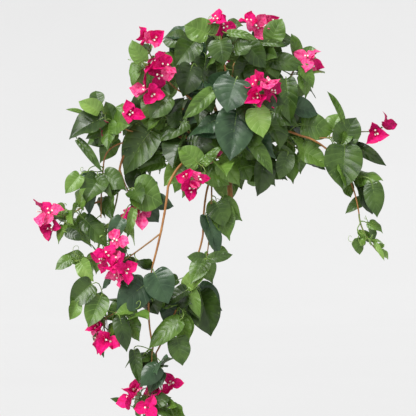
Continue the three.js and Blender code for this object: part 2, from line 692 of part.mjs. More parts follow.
// ---- the scene graph ----
// A mass or limb as one body, with points closer than WELD made one and loose scraps left off.
function nodeMesh(name, solids, colour, roughness) {
  const { vertProperties, triVerts } = wasm.Manifold.union(solids).asOriginal().simplify(EASE).getMesh();
  const loose = new THREE.BufferGeometry();
  loose.setAttribute('position', new THREE.BufferAttribute(vertProperties, 3));
  loose.setIndex(new THREE.BufferAttribute(triVerts, 1));
  const merged = mergeVertices(loose, WELD);
  const welded = new wasm.Mesh({
    numProp: 3,
    vertProperties: merged.attributes.position.array,
    triVerts: new Uint32Array(merged.index.array),
  });
  const whole = largest(new wasm.Manifold(welded)).getMesh();
  const geometry = new THREE.BufferGeometry();
  geometry.setAttribute('position', new THREE.BufferAttribute(whole.vertProperties, 3));
  geometry.setIndex(new THREE.BufferAttribute(whole.triVerts, 1));
  const material = new THREE.MeshStandardMaterial({ color: colour, roughness, metalness: 0 });
  const mesh = new THREE.Mesh(geometry, material);
  mesh.name = name;
  return mesh;
}

const bush = new THREE.Group();
bush.name = 'bougainvillea_bush';
for (const [name, list] of Object.entries(pieces)) {
  const solids = list.map((piece) => piece.solid);
  const [, , , , , , , , fresh] = MASSES[name] || [];
  const green = new THREE.Color(OLD_GREEN).lerp(new THREE.Color(FRESH_GREEN), fresh || 0);
  const colour = name === 'trunk' ? BARK : LIMBS[name] ? COVER : green;
  bush.add(nodeMesh(name, solids, colour, LIMBS[name] ? 0.65 : 0.55));
}
export default bush;
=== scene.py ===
"""Dresses the artificial hanging bougainvillea bush. Leaves, flowers, twigs and covered wires grow on
the solids' own limbs by their own seeded rule, in fine closed meshes, with procedural materials, a
pale studio and a level camera."""

import math
from types import SimpleNamespace

import bpy
import numpy as np
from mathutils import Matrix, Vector
from mathutils.kdtree import KDTree


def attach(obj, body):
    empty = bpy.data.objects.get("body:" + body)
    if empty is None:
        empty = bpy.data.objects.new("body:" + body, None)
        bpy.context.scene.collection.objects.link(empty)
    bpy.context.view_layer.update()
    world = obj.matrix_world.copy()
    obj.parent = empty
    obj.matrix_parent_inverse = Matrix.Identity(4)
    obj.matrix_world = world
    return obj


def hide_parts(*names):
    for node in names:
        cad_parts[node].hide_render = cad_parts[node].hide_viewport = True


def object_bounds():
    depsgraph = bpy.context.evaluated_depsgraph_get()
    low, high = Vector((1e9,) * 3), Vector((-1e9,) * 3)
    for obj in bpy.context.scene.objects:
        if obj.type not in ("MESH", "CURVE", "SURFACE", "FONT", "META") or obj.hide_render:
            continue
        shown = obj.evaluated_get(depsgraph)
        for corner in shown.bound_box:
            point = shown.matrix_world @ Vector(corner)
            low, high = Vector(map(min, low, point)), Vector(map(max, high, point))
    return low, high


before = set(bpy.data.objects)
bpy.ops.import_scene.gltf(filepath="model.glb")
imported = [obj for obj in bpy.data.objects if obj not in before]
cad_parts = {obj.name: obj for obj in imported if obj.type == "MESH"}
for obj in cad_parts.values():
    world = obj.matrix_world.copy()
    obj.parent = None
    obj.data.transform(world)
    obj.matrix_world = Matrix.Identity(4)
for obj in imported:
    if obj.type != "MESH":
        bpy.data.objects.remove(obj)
CAD_LOW, CAD_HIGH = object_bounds()

# ---- the solids' driving sizes, in millimetres ----
SQUARE = 1.75  # side of one square of the front sheet on which the places are set out
SIGHT = 3200  # the sheet is as seen from this far in front of the stem
SHEET_MID = (208, 208)  # square of the sheet that faces the eye
STEM_FOOT = (230.5, 217)  # square of the stem's cut foot, the origin
DROOP = 0.18  # how far a leaf's tip drops, over its length
FOLD = 0.1  # how far a leaf's edges rise from its midrib, over its width
STEM_END = 0.95  # the share of a mass's stem that carries twigs
SHARPEST = -0.2  # cosine of the sharpest bend between a stalk and its leaf or flower
CHIEF_SHARPEST = -0.75  # the same for a chief leaf
STEM_R = (1.5, 1.0)  # a mass's stem, radius at foot and at tip
BRACT = (22, 29)  # length of a bract, least and most
BRACT_WIDE = 0.74  # a bract's width over its length
CUP = 0.45  # how far a bract leans forward over its length
RING = (0, 0, 6, 10, 13)  # how far flowers stand from the middle of 1, 2, 3, 4 of them
TURN = math.radians(137.5)  # from one twig to the next round a stem
TRIES = 10  # places that the rule tries for a twig, leaf or flower
FORWARD = 6  # how many of a chief leaf's places lie before its stem
CHIEF_STEP = 5  # from one of those places to the next
BACK = 30  # a mass whose stem lies further behind than this faces backward
STRIDE = 7919  # from the seed of one try to the seed of the next

# A limb: its carrier, how far along that it starts, its via and tip places (u, v, y), its radii.
LIMBS = {
    "trunk": (None, 0, (229.625, 180, 0), (227, 141, 0), 5, 4),
    "left_bough": ("trunk", 0.86, (197, 139, -26), (158, 138, -40), 2.4, 2.1),
    "left_arch": ("left_bough", 1, (128.5, 149, -50), (119, 181, -56), 2.1, 1.9),
    "left_elbow": ("left_arch", 1, (111, 195.5, -58), (84, 206, -60), 1.9, 1.7),
    "left_hang": ("left_arch", 0.3, (112.5, 147, -55), (103.5, 166, -57), 1.4, 1.2),
    "front_bough": ("trunk", 0.74, (192, 157, -66), (168, 187, -94), 2.3, 2.1),
    "front_trail": ("front_bough", 1, (162.5, 224, -100), (153, 264, -102), 2.1, 1.8),
    "front_low": ("dark_low", 1, (149.3, 324, -101), (153, 347, -98), 1.7, 1.5),
    "mid_bough": ("trunk", 0.66, (210, 180, -36), (203, 234, -48), 2, 1.7),
    "mid_trail": ("mid_bough", 1, (198, 254, -50), (188, 275, -52), 1.7, 1.5),
    "mid_low": ("mid_spray", 1, (167, 332, -74), (156, 353, -84), 1.5, 1.4),
    "right_bough": ("trunk", 0.9, (262, 130, -16), (301, 136, -30), 2.3, 1.9),
    "right_low": ("right_bough", 1, (316, 141.5, -34), (331, 153, -38), 1.9, 1.6),
    "right_drop": ("heart_spray", 1, (355.5, 196, -44), (359, 214, -45), 1.4, 1.2),
    "top_bough": ("trunk", 1, (229, 104, -14), (224, 62, -22), 2.2, 1.7),
    "top_right_bough": ("trunk", 0.96, (247, 108, 16), (262, 66, 16), 2.1, 1.6),
    "top_left_bough": ("trunk", 0.93, (212, 103, 16), (195, 70, 20), 2.1, 1.6),
    "upper_left_bough": ("trunk", 0.8, (206, 115, -30), (178, 90, -52), 2.1, 1.6),
    "upper_right_bough": ("trunk", 0.83, (264, 112, 26), (289, 80, 18), 2.1, 1.6),
    "centre_bough": ("trunk", 0.77, (240, 124, -48), (250, 107, -84), 2, 1.6),
    "back_left_bough": ("trunk", 0.78, (205, 124, 34), (180, 108, 58), 2.1, 1.6),
    "back_right_bough": ("trunk", 0.72, (255, 124, 32), (276, 110, 54), 2.1, 1.6),
    "back_bough": ("trunk", 0.88, (229, 108, 38), (232, 78, 58), 2.1, 1.6),
}

# A mass: its stem as above, its count of leaves, their lengths from foot to tip, how far twigs reach,
# the stem's bare share, how fresh its green is, its blooms (u, v, y, flowers) and its chief leaves
# (u and v of base, u and v of tip, width, tone). A mass's seed is its place in this list.
MASSES = {
    "top_spray": ("top_bough", 1, (222, 44, -24), (221, 26, -24), 8, (44, 30), 30, 0, 0.45,
        [(220, 23, -26, 2)],
        [(208, 34, 184, 26, 23, 0.75), (220, 40, 223, 65, 22, 0.4), (228, 33, 258, 38, 8, 0.45)]),
    "top_right_spray": ("top_right_bough", 1, (262, 50, 14), (264, 36, 10), 10, (54, 32), 30, 0, 0.35,
        [(252, 25, 4, 2), (270, 25, 10, 1)],
        [(271, 42, 283, 19, 20, 0.6), (262, 43, 287, 45, 7, 0.3), (246, 44, 266, 68, 20, 0.3)]),
    "top_left_spray": ("top_left_bough", 1, (190, 54, 22), (194, 40, 24), 10, (64, 44), 30, 0, 0.2,
        [], [(196, 40, 176, 66, 24, 0.2), (206, 58, 199, 98, 22, 0.15)]),
    "upper_left_spray": ("upper_left_bough", 1, (162, 74, -62), (148, 50, -62), 10, (50, 32), 28, 0.1, 0.55,
        [(160, 69, -80, 3), (150, 93, -78, 2), (150, 40, -94, 2)],
        [(136, 63, 133, 84, 11, 0.5), (143, 62, 130, 41, 15, 0.8)]),
    "upper_right_spray": ("upper_right_bough", 1, (297, 66, 14), (306, 60, 10), 10, (52, 32), 28, 0, 0.4,
        [(310, 60, 8, 2)],
        [(271, 61, 305, 66, 17, 0.3), (302, 66, 313, 88, 13, 0.6), (299, 60, 290, 34, 11, 0.5)]),
    "centre_spray": ("centre_bough", 1, (254, 100, -98), (260, 92, -108), 6, (50, 36), 26, 0, 0.3,
        [(263, 90, -120, 4)], [(256, 108, 262, 138, 22, 0.85)]),
    "crown_front": ("trunk", 0.7, (234, 130, -58), (230, 104, -84), 10, (74, 54), 34, 0.35, 0.25,
        [], [(237, 110, 231, 161, 34, 0.1), (236, 79, 226, 112, 34, 0.05), (213, 91, 185, 121, 14, 0.5),
         (251, 141, 274, 173, 13, 0.6)]),
    "crown_mid": ("trunk", 0.99, (216, 108, -30), (206, 88, -38), 10, (64, 46), 34, 0.35, 0.15,
        [], [(192, 66, 182, 96, 24, 0.1)]),
    "crown_right": ("trunk", 0.92, (262, 116, -18), (288, 98, -14), 12, (66, 44), 34, 0.35, 0.2,
        [], [(286, 79, 291, 124, 20, 0.3)]),
    "crown_low": ("trunk", 0.6, (248, 160, -30), (270, 160, -36), 12, (58, 38), 32, 0.12, 0.3,
        [], [(266, 160, 257, 196, 20, 0.1), (288, 154, 280, 180, 16, 0.4), (238, 156, 250, 181, 24, 0.45)]),
    "left_inner": ("left_bough", 0.45, (176, 124, -52), (160, 112, -56), 8, (54, 42), 28, 0.1, 0.3,
        [], [(168, 96, 150, 119, 22, 0.2), (187, 122, 158, 140, 16, 0.4)]),
    "left_under": ("left_bough", 0.7, (160, 148, -14), (140, 154, -8), 9, (66, 46), 26, 0.1, 0.3,
        [], [(153, 128, 122, 173, 32, 0.3), (190, 147, 139, 157, 13, 0.2), (165, 162, 138, 170, 14, 0.6),
         (184, 163, 163, 185, 18, 0.7)]),
    "left_tip_spray": ("left_arch", 0.06, (122, 128, -52), (98, 118, -52), 12, (56, 32), 30, 0.4, 0.55,
        [(130, 115, -64, 2), (113, 131, -62, 1)],
        [(103, 118, 69, 139, 26, 0.15), (99, 112, 79, 101, 15, 0.9), (113, 121, 107, 101, 12, 0.3),
         (78, 140, 103, 172, 8, 0.2), (84, 113, 66, 109, 4, 0.8)]),
    "left_dark": ("left_hang", 1, (101.5, 190, -66), (101, 218, -70), 8, (54, 38), 24, 0, 0.25,
        [], [(88, 172, 88, 216, 15, 0.15), (80, 175, 66, 194, 15, 0.65), (98, 175, 112, 198, 8, 0.2)]),
    "far_left_spray": ("left_elbow", 1, (76, 211, -62), (64, 217, -64), 9, (48, 32), 26, 0, 0.5,
        [(48, 212, -72, 2), (52, 230, -72, 1)], [(84, 219, 108, 246, 19, 0.2)]),
    "left_drop": ("left_elbow", 0.18, (110, 222, -60), (88, 264, -64), 12, (44, 32), 28, 0.3, 0.65,
        [], [(71, 259, 55, 269, 12, 0.6), (80, 262, 94, 281, 15, 0.95), (66, 232, 82, 240, 10, 0.1)]),
    "round_spray": ("left_arch", 0.85, (132, 198, -66), (146, 208, -70), 6, (56, 42), 22, 0.15, 0.3,
        [(137, 217, -72, 2)],
        [(134, 190, 163, 203, 32, 0.5), (134, 209, 127, 238, 8, 0.7), (122, 218, 108, 243, 14, 0.1)]),
    "side_spray": ("front_trail", 0.62, (136, 252, -110), (112, 268, -116), 7, (40, 30), 22, 0.45, 0.4,
        [(116, 240, -128, 1), (105, 256, -126, 2), (120, 269, -130, 3)], []),
    "dark_low": ("front_trail", 1, (149, 288, -104), (148.5, 303, -103), 6, (58, 46), 24, 0, 0.15,
        [], [(146, 284, 117, 311, 28, 0.1), (154, 272, 168, 304, 27, 0.08)]),
    "lower_left_spray": ("dark_low", 0.55, (128, 306, -108), (104, 318, -108), 14, (46, 32), 30, 0.25, 0.5,
        [(104, 337, -112, 3)],
        [(92, 284, 69, 305, 21, 0.25), (101, 296, 90, 328, 20, 0.45), (77, 303, 70, 320, 12, 0.7),
         (120, 318, 126, 352, 15, 0.1)]),
    "front_low_spray": ("trunk", 0.68, (206, 160, -60), (190, 170, -88), 9, (58, 40), 28, 0.3, 0.5,
        [(193, 183, -104, 3)], [(199, 164, 178, 148, 20, 0.7), (204, 164, 222, 146, 9, 0.6)]),
    "front_hang": ("mid_bough", 0.45, (211, 214, -66), (207, 256, -68), 8, (58, 44), 20, 0.12, 0.25,
        [], [(206, 215, 218, 258, 16, 0.1), (216, 203, 226, 226, 22, 0.2), (204, 259, 187, 257, 10, 0.35),
         (209, 259, 233, 256, 10, 0.35)]),
    "mid_spray": ("mid_trail", 1, (188, 292, -56), (176, 310, -60), 12, (58, 36), 30, 0, 0.4,
        [], [(186, 287, 206, 270, 15, 0.85), (190, 288, 199, 318, 12, 0.7), (187, 290, 163, 307, 14, 0.15),
         (200, 292, 212, 336, 30, 0.15), (180, 320, 148, 347, 19, 0.6), (177, 337, 181, 366, 20, 0.25)]),
    "low_spray": ("front_low", 1, (152, 358, -99), (151, 376, -100), 8, (50, 36), 28, 0, 0.35,
        [], [(134, 350, 138, 384, 11, 0.3)]),
    "bottom_left": ("low_spray", 1, (148, 394, -100), (141, 412, -100), 7, (46, 34), 24, 0.2, 0.5,
        [(134, 397, -108, 2), (149, 408, -114, 1)], [(129, 405, 110, 399, 6, 0.4)]),
    "bottom_right": ("mid_low", 1, (160, 382, -88), (167, 416, -90), 6, (40, 30), 20, 0.7, 0.55,
        [(159, 387, -84, 1), (174, 385, -82, 1)], []),
    "flower_tip": ("right_bough", 0.97, (322, 138, -30), (352, 133, -34), 8, (46, 32), 26, 0.55, 0.5,
        [(377, 131, -46, 2)], [(342, 143, 355, 117, 24, 0.25), (343, 120, 328, 91, 6, 0.6)]),
    "heart_spray": ("right_low", 1, (343, 165, -40), (349.5, 179, -42), 6, (56, 44), 22, 0, 0.3,
        [], [(345, 146, 342, 190, 34, 0.4), (353, 146, 387, 164, 12, 0.1), (372, 183, 378, 217, 18, 0.35),
         (365, 199, 345, 212, 11, 0.25)]),
    "right_end": ("right_drop", 1, (364, 232, -47), (378, 252, -50), 8, (30, 20), 20, 0.1, 0.8,
        [], [(375, 243, 385, 260, 5, 0.9)]),
    "right_short": ("right_bough", 0.72, (290, 143, -8), (312, 158, -4), 9, (48, 32), 24, 0.3, 0.65,
        [], [(302, 125, 333, 133, 24, 0.5), (300, 150, 328, 166, 20, 0.7)]),
    "back_left_spray": ("back_left_bough", 1, (166, 104, 76), (154, 118, 92), 12, (70, 44), 46, 0, 0.3,
        [(152, 110, 118, 3)], []),
    "back_right_spray": ("back_right_bough", 1, (284, 106, 74), (284, 124, 94), 12, (70, 44), 46, 0, 0.3,
        [(284, 104, 116, 3)], []),
    "back_top_spray": ("back_bough", 1, (234, 64, 72), (238, 58, 92), 12, (70, 44), 46, 0, 0.3,
        [(232, 70, 118, 3)], []),
    "back_low_spray": ("trunk", 0.62, (226, 146, 48), (222, 160, 86), 12, (70, 44), 44, 0.3, 0.3,
        [(212, 158, 112, 3)], []),
    "tail_left": ("bottom_left", 1, (136, 436, -98), (138, 462, -96), 8, (44, 26), 22, 0.1, 0.7,
        [(133, 452, -104, 2)], []),
    "tail_right": ("bottom_right", 1, (170, 440, -90), (163, 476, -88), 9, (44, 26), 22, 0.1, 0.7,
        [(170, 462, -96, 2)], []),
}

# ---- the finer growth and looks, in millimetres ----
FOUND = 0.3  # a leaf or flower is the solids' own if its tip is this near one of their corners
LEAF_THICK = 0.5  # thickness of the cloth that leaves are cut from
BRACT_THICK = 0.4
TWIG_R = 0.85  # a twig's radius, and a flower stalk's
STALK_R = 0.7
SLEEVE = 3.5  # how far the sleeve at the root of a twig or stalk reaches
RIDGE = 0.25  # how far a vein stands out below
BRACT_PUFF = 0.9  # how far a bract swells between its veins
KNOT_GAP = 31  # between the knots along a covered wire
KNOT_LONG = 1.6  # half the length of a knot
ROW_GAP = 2.4  # between the rings of a covered wire's mesh
SHARP = 50  # degrees from which the edge between two faces is sharp
CHIEF_CALM = 0.7  # how much of a leaf's curl and twist a chief leaf has
ROLL = 1.1  # how far another leaf may roll round its midrib, over the rest of that share
CROWD = 6.5  # least gap between a finer leaf's spots and its neighbours'
FLORETS = 0.8  # share of the bracts that bear a floret
ROUNDER = 0.5  # share of the leaves, beside the chief ones, that are round, not heart-shaped
PUFF = 0.026  # how far a leaf swells between its veins, over its length
CURLY_TONE = 0.45  # tone from which a leaf's twig may bear a tendril, and the share that do
CURLY = 0.4
BLUE_TONE = 0.2  # tone below which a leaf may be blue-green, and the share that are
BLUE = 0.45
CROWN_FOOT = 60  # height above the stem's foot from which a mass is one of the crown's
FINER = (0.7, 0.72)  # finer leaves over the solids' own, and their length over those, in the crown
FINER_TRAIL = (0.35, 0.6)  # the same below that, on the trailing sprays
YOUNG_TWIG = 40  # numbers from which finer twigs, and the tries of finer leaves, are counted
YOUNG_TRY = 20
YOUNG_REACH = 0.85  # a finer twig's reach over those of the solids
YOUNG_TONE = 0.12  # how much fresher a finer leaf is
WITHIN = 12  # how far beside the first leaves, from the front, a finer leaf may reach
IN_VIEW = 9  # finer leaves leave the wires and flowers in view by this much to each side

# Places along half a leaf's margin from base to tip, as shares of its length and of its width, and
# where on the midrib the vein that runs to each starts.
HEART_MARGIN = [
    (-0.005, 0.035), (-0.06, 0.18), (-0.04, 0.35), (0.09, 0.475), (0.27, 0.525),
    (0.46, 0.5), (0.63, 0.395), (0.77, 0.24), (0.88, 0.085), (1.0, 0.008),
]
ROUND_MARGIN = [
    (-0.005, 0.035), (-0.05, 0.2), (-0.03, 0.37), (0.1, 0.5), (0.28, 0.56),
    (0.48, 0.55), (0.67, 0.45), (0.83, 0.27), (0.93, 0.1), (1.0, 0.008),
]
LEAF_RIB = [0, 0.01, 0.03, 0.08, 0.16, 0.28, 0.43, 0.61, 0.80, 0.995]
LEAF_VEINS = (0.21, 0.34, 0.46, 0.57, 0.68, 0.79)  # where the side veins lie from base to tip
BRACT_MARGIN = [
    (0.0, 0.08), (0.05, 0.27), (0.18, 0.43), (0.37, 0.52),
    (0.57, 0.50), (0.76, 0.35), (0.90, 0.15), (1.02, 0.012),
]
BRACT_RIB = [0, 0.02, 0.09, 0.22, 0.40, 0.60, 0.81, 0.985]
BRACT_VEINS = (0.2, 0.38, 0.56, 0.74)


# ---- places, routes and seeded numbers: the solids' rule ----
def vec(*xyz):
    return np.array(xyz, float)


UP = vec(0, 0, 1)


def unit(v):
    return v / np.linalg.norm(v)


def place(spot):
    """Where a square (u, v) of the front sheet lies at the depth y."""
    u, v, y = spot
    k = SQUARE * (SIGHT + y) / SIGHT
    x = (SHEET_MID[0] - STEM_FOOT[0]) * SQUARE
    z = (STEM_FOOT[1] - SHEET_MID[1]) * SQUARE
    return vec(x + (u - SHEET_MID[0]) * k, y, z - (v - SHEET_MID[1]) * k)


class Route:
    """A quadratic arc through its foot, its via place (half way) and its tip."""

    def __init__(self, foot, via, tip):
        self.a, self.b, self.c = foot, 2 * via - (foot + tip) / 2, tip

    def at(self, t):
        return (1 - t) ** 2 * self.a + 2 * t * (1 - t) * self.b + t * t * self.c

    def way(self, t):
        return unit((t - 1) * self.a + (1 - 2 * t) * self.b + t * self.c)


ROUTES = {}


def route(name):
    """The route of a limb or of a mass's stem, which starts on its carrier's."""
    if name not in ROUTES:
        carrier, share, via, tip = (LIMBS.get(name) or MASSES[name])[:4]
        foot = route(carrier).at(share) if carrier else place((*STEM_FOOT, 0))
        ROUTES[name] = Route(foot, place(via), place(tip))
    return ROUTES[name]


class Dice:
    """A seeded run of numbers from 0 to 1."""

    def __init__(self, seed):
        self.state = (seed * 2654435761 + 12345) % 2**32
        self.roll()
        self.roll()

    def roll(self):
        self.state = (self.state * 1664525 + 1013904223) % 2**32
        return self.state / 2**32

    def span(self, least, most):
        return least + (most - least) * self.roll()


def across(axis):
    """Two directions square to an axis and to each other."""
    u = unit(np.cross(axis, vec(0, -1, 0) if abs(axis[2]) > 0.7 else UP))
    return u, np.cross(u, axis)


def around(axis, angle):
    """The direction square to an axis, at an angle round it."""
    u, v = across(axis)
    return u * math.cos(angle) + v * math.sin(angle)


def squared(loose, way):
    """The part of a direction that is square to a way, as a unit."""
    return unit(loose - way * (way @ loose))


# ---- the seeded rule: what grows on a mass's stem ----
def facing(stem):
    """Whether a mass looks forward (-1) or backward (1), and the way that its leaves look."""
    mid = stem.at(0.5)
    front = -1 if mid[1] < BACK else 1
    return front, unit(vec(mid[0] / 300, front, 0.3))


def nearest(stem, bare, cost):
    """The place on a stem, past its bare share, that costs least."""
    shares = range(math.floor(bare * 20), math.floor(20 * STEM_END) + 1)
    return min((stem.at(q / 20) for q in shares), key=cost)


def chief_leaf(mass, i, attempt):
    """A leaf set out by its base, tip and width, at one of its places from front to back."""
    u0, v0, u1, v1, wide, tone = mass.chief[i]
    front, _ = facing(mass.stem)
    at, end = place((u0, v0, 0)), place((u1, v1, 0))
    behind = at + unit(at - end) * 10
    root = nearest(mass.stem, mass.bare, lambda p: math.hypot(p[0] - behind[0], p[2] - behind[2]))
    if attempt < FORWARD:
        step = 12 + CHIEF_STEP * (i + attempt)
    else:
        step = -8 - CHIEF_STEP * (attempt - FORWARD)
    y = root[1] + front * step
    base, tip = place((u0, v0, y)), place((u1, v1, y + front * 6))
    dice = Dice(mass.seed * 53 + i + 900)
    reach = tip - base
    lift, rest = DROOP * reach[2], 1 - DROOP**2
    length = (lift + math.sqrt(lift**2 + rest * (reach @ reach))) / rest
    way = unit(reach + UP * DROOP * length)
    face = unit(vec(dice.span(-0.35, 0.35), front, dice.span(0.1, 0.5)))
    return SimpleNamespace(
        root=root, base=base, way=way, face=squared(face, way), length=length,
        width=wide * SQUARE, tone=tone, calm=CHIEF_CALM, twist_seed=mass.seed * 53 + i,
        sharpest=CHIEF_SHARPEST,
    )


def twig_of(mass, j, count, attempt):
    """The foot and tip of one of a mass's twigs, which turn round its stem."""
    dice = Dice(mass.seed * 97 + j + attempt * STRIDE)
    t = min(STEM_END, mass.bare + (1 - mass.bare) * (j + 0.5 + 0.5 * (j + 1 == count)) / count)
    root, ax = mass.stem.at(t), mass.stem.way(t)
    turn = TURN * j + dice.span(-1, 1) + mass.seed
    way = unit(around(ax, turn) + ax * 0.6 - UP * 0.15)
    long = mass.reach * dice.span(0.5, 1)
    return root, root + way * long - UP * 0.08 * long


def leaf_of(mass, twig, k, rest, attempt):
    """An ordinary leaf, at a twig's tip or, for an odd number k, on a stalk at its side."""
    foot, tip = twig
    dice = Dice(mass.seed * 131 + k + 50000 + attempt * STRIDE)
    _, face = facing(mass.stem)
    aside = k % 2 == 1
    along = unit(tip - foot)
    share = k / max(1, rest - 1)
    length = (mass.sizes[0] + (mass.sizes[1] - mass.sizes[0]) * share) * dice.span(0.8, 1.1)
    lean = vec(dice.span(-0.5, 0.5), dice.span(-0.5, 0.5), dice.span(-0.5, 0.3))
    stalk = unit(along * 0.6 - 0.9 * unit(np.cross(along, face)) + lean)
    root = foot * 0.4 + tip * 0.6 if aside else foot
    base = root + stalk * length * dice.span(0.16, 0.3) if aside else tip
    lead = stalk if aside else along
    hang = vec(dice.span(-0.8, 0.8), dice.span(-0.35, 0.35), dice.span(-1, 0.5))
    loose = lead * 0.5 + hang
    way = unit(loose + lead * max(0, 0.1 - loose @ lead))
    up = face + vec(dice.span(-0.75, 0.75), dice.span(-0.3, 0.3), dice.span(-0.3, 0.85))
    width = length * dice.span(0.7, 0.86)
    tone = mass.fresh + (Dice(mass.seed * 17 + k + 3000).roll() - 0.5) * 0.6
    return SimpleNamespace(
        root=root, base=base, way=way, face=squared(up, way), length=length, width=width,
        tone=min(1, max(0, tone)), calm=1, twist_seed=mass.seed * 59 + k,
    )


def flower_of(mass, b, f, attempt):
    """One of a bloom's flowers, which stand in a ring round its middle."""
    u0, v0, y0, count = mass.blooms[b]
    _, face = facing(mass.stem)
    middle = place((u0, v0, y0))
    spin = 2 * math.pi * Dice(mass.seed * 31 + b + 500).roll()
    dice = Dice(mass.seed * 61 + b * 17 + f * 5 + 700 + attempt * STRIDE)
    out = around(face, spin + f * 2 * math.pi / count + dice.span(-0.3, 0.3))
    away = RING[count] * dice.span(0.9, 1.1)
    centre = middle + out * away + face * (dice.span(-4, 6) + 2 * attempt)
    root = nearest(mass.stem, 0.2, lambda p: np.linalg.norm(p - centre))
    tilt = vec(dice.span(-0.25, 0.25), 0, dice.span(-0.25, 0.25))
    axis = unit(face + out * (0.1 if count == 1 else 0.75) + tilt)
    spin = dice.span(0, 2 * math.pi)
    return SimpleNamespace(
        root=root, base=centre, way=axis, spin=spin, size=dice.span(*BRACT),
        seed=mass.seed * 7 + 5 * b + f,
    )


def bract_ways(flower, i):
    """A bract's way out from the middle and the way that its upper side looks."""
    out = around(flower.way, flower.spin + i * 2 * math.pi / 3)
    return unit(out + flower.way * CUP), unit(flower.way - out * CUP)


def leaf_tip(leaf):
    return [leaf.base + leaf.way * leaf.length - UP * DROOP * leaf.length]


def bract_tips(flower):
    return [flower.base + bract_ways(flower, i)[0] * flower.size for i in range(3)]


def kept(corners, make, tips_of):
    """The one of the rule's tries that the solids kept, found by a tip of it among their corners."""
    for attempt in range(TRIES):
        made = make(attempt)
        if unit(made.base - made.root) @ made.way < getattr(made, "sharpest", SHARPEST):
            continue
        if min(corners.find(Vector(tip / 1000))[2] for tip in tips_of(made)) < FOUND / 1000:
            return made
    return None


def corner_tree(node):
    """A solid's corners, in metres, to search for the nearest."""
    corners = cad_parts[node].data.vertices
    tree = KDTree(len(corners))
    for i, corner in enumerate(corners):
        tree.insert(corner.co, i)
    tree.balance()
    return tree


def grown(mass):
    """A mass's leaves and flowers, as the solids have them. A side leaf names the leaf it grows by."""
    corners = corner_tree(mass.name)
    flowers = [
        kept(corners, lambda n, b=b, f=f: flower_of(mass, b, f, n), bract_tips)
        for b, bloom in enumerate(mass.blooms)
        for f in range(bloom[3])
    ]
    leaves = [
        kept(corners, lambda n, i=i: chief_leaf(mass, i, n), leaf_tip) for i in range(len(mass.chief))
    ]
    rest = mass.count - len(mass.chief)
    twigs = math.ceil(rest / 2)
    for j in range(twigs):
        end = kept(
            corners, lambda n, j=j: leaf_of(mass, twig_of(mass, j, twigs, n), 2 * j, rest, n), leaf_tip
        )
        leaves.append(end)
        if end is None or 2 * j + 1 >= rest:
            continue
        twig = (end.root, end.base)
        side = kept(
            corners, lambda n, j=j, twig=twig: leaf_of(mass, twig, 2 * j + 1, rest, n), leaf_tip
        )
        if side is not None:
            side.host = end
            leaves.append(side)
    return [x for x in leaves if x is not None], [x for x in flowers if x is not None]


# ---- finer leaves, by the same rule, where there is room among the others ----
SPOTS = [(0.15, -0.3), (0.15, 0.3), (0.4, 0), (0.45, -0.3), (0.45, 0.3), (0.75, 0), (1, 0)]


def spots(leaf):
    """A few places on a leaf, to measure how crowded it is."""
    side = np.cross(leaf.way, leaf.face)
    return np.array([
        leaf.base + leaf.way * x * leaf.length + side * y * leaf.width - UP * DROOP * x * x * leaf.length
        for x, y in SPOTS
    ])


def inside(points):
    """Whether all points lie in the solids' box."""
    return (points > np.array(CAD_LOW) * 1000).all() and (points < np.array(CAD_HIGH) * 1000).all()


def finer(mass, first, shown, taken, share, small):
    """Young leaves on twigs of their own between the first ones. They keep to the outline and the
    gaps that those give from the front, and leave what is to be shown in view."""
    count = round(mass.count * share)
    young = SimpleNamespace(**vars(mass))
    young.reach = mass.reach * YOUNG_REACH
    young.sizes = (mass.sizes[0] * small, mass.sizes[1] * small)
    found = []
    for i in range(count):
        for attempt in range(TRIES):
            root, tip = twig_of(young, YOUNG_TWIG + i, count + YOUNG_TWIG, attempt)
            t = min(STEM_END, mass.bare + (1 - mass.bare) * (i + 0.5) / count)
            shift = mass.stem.at(t) - root
            twig = (root + shift, tip + shift)
            leaf = leaf_of(young, twig, 2 * i, 2 * count, attempt + YOUNG_TRY)
            leaf.tone = min(1, leaf.tone + YOUNG_TONE)
            there = spots(leaf)
            if unit(leaf.base - leaf.root) @ leaf.way < SHARPEST or not inside(there):
                continue
            gaps = np.linalg.norm(np.concatenate(taken)[None] - there[:, None], axis=2)
            if gaps.min() < CROWD:
                continue
            aside = np.hypot(*(first[None] - there[:, None])[..., [0, 2]].transpose(2, 0, 1))
            if aside.min(axis=1).max() > WITHIN:
                continue
            before = shown[None] - there[:, None]
            if ((np.hypot(before[..., 0], before[..., 2]) < IN_VIEW) & (before[..., 1] > 0)).any():
                continue
            taken.append(there)
            found.append(leaf)
            break
    return found


# ---- meshes ----
def linked(name, data):
    """A new object of the scene."""
    obj = bpy.data.objects.new(name, data)
    bpy.context.scene.collection.objects.link(obj)
    return obj


class Sheaf:
    """Many small closed shapes gathered into one mesh, each face with the number of its look."""

    def __init__(self):
        self.points, self.faces, self.looks, self.count = [], [], [], 0

    def add(self, points, faces, looks):
        for group in faces:
            self.faces.extend((group + self.count).tolist())
        self.looks.extend(int(n) for group in looks for n in group)
        self.points.append(points)
        self.count += len(points)

    def piece(self, name, materials):
        mesh = bpy.data.meshes.new(name)
        mesh.from_pydata((np.concatenate(self.points) / 1000).tolist(), [], self.faces)
        for material in materials:
            mesh.materials.append(material)
        mesh.polygons.foreach_set("material_index", self.looks)
        mesh.shade_smooth()
        mesh.set_sharp_from_angle(angle=math.radians(SHARP))
        mesh.update()
        obj = linked(name, mesh)
        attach(obj, "root")
        return obj


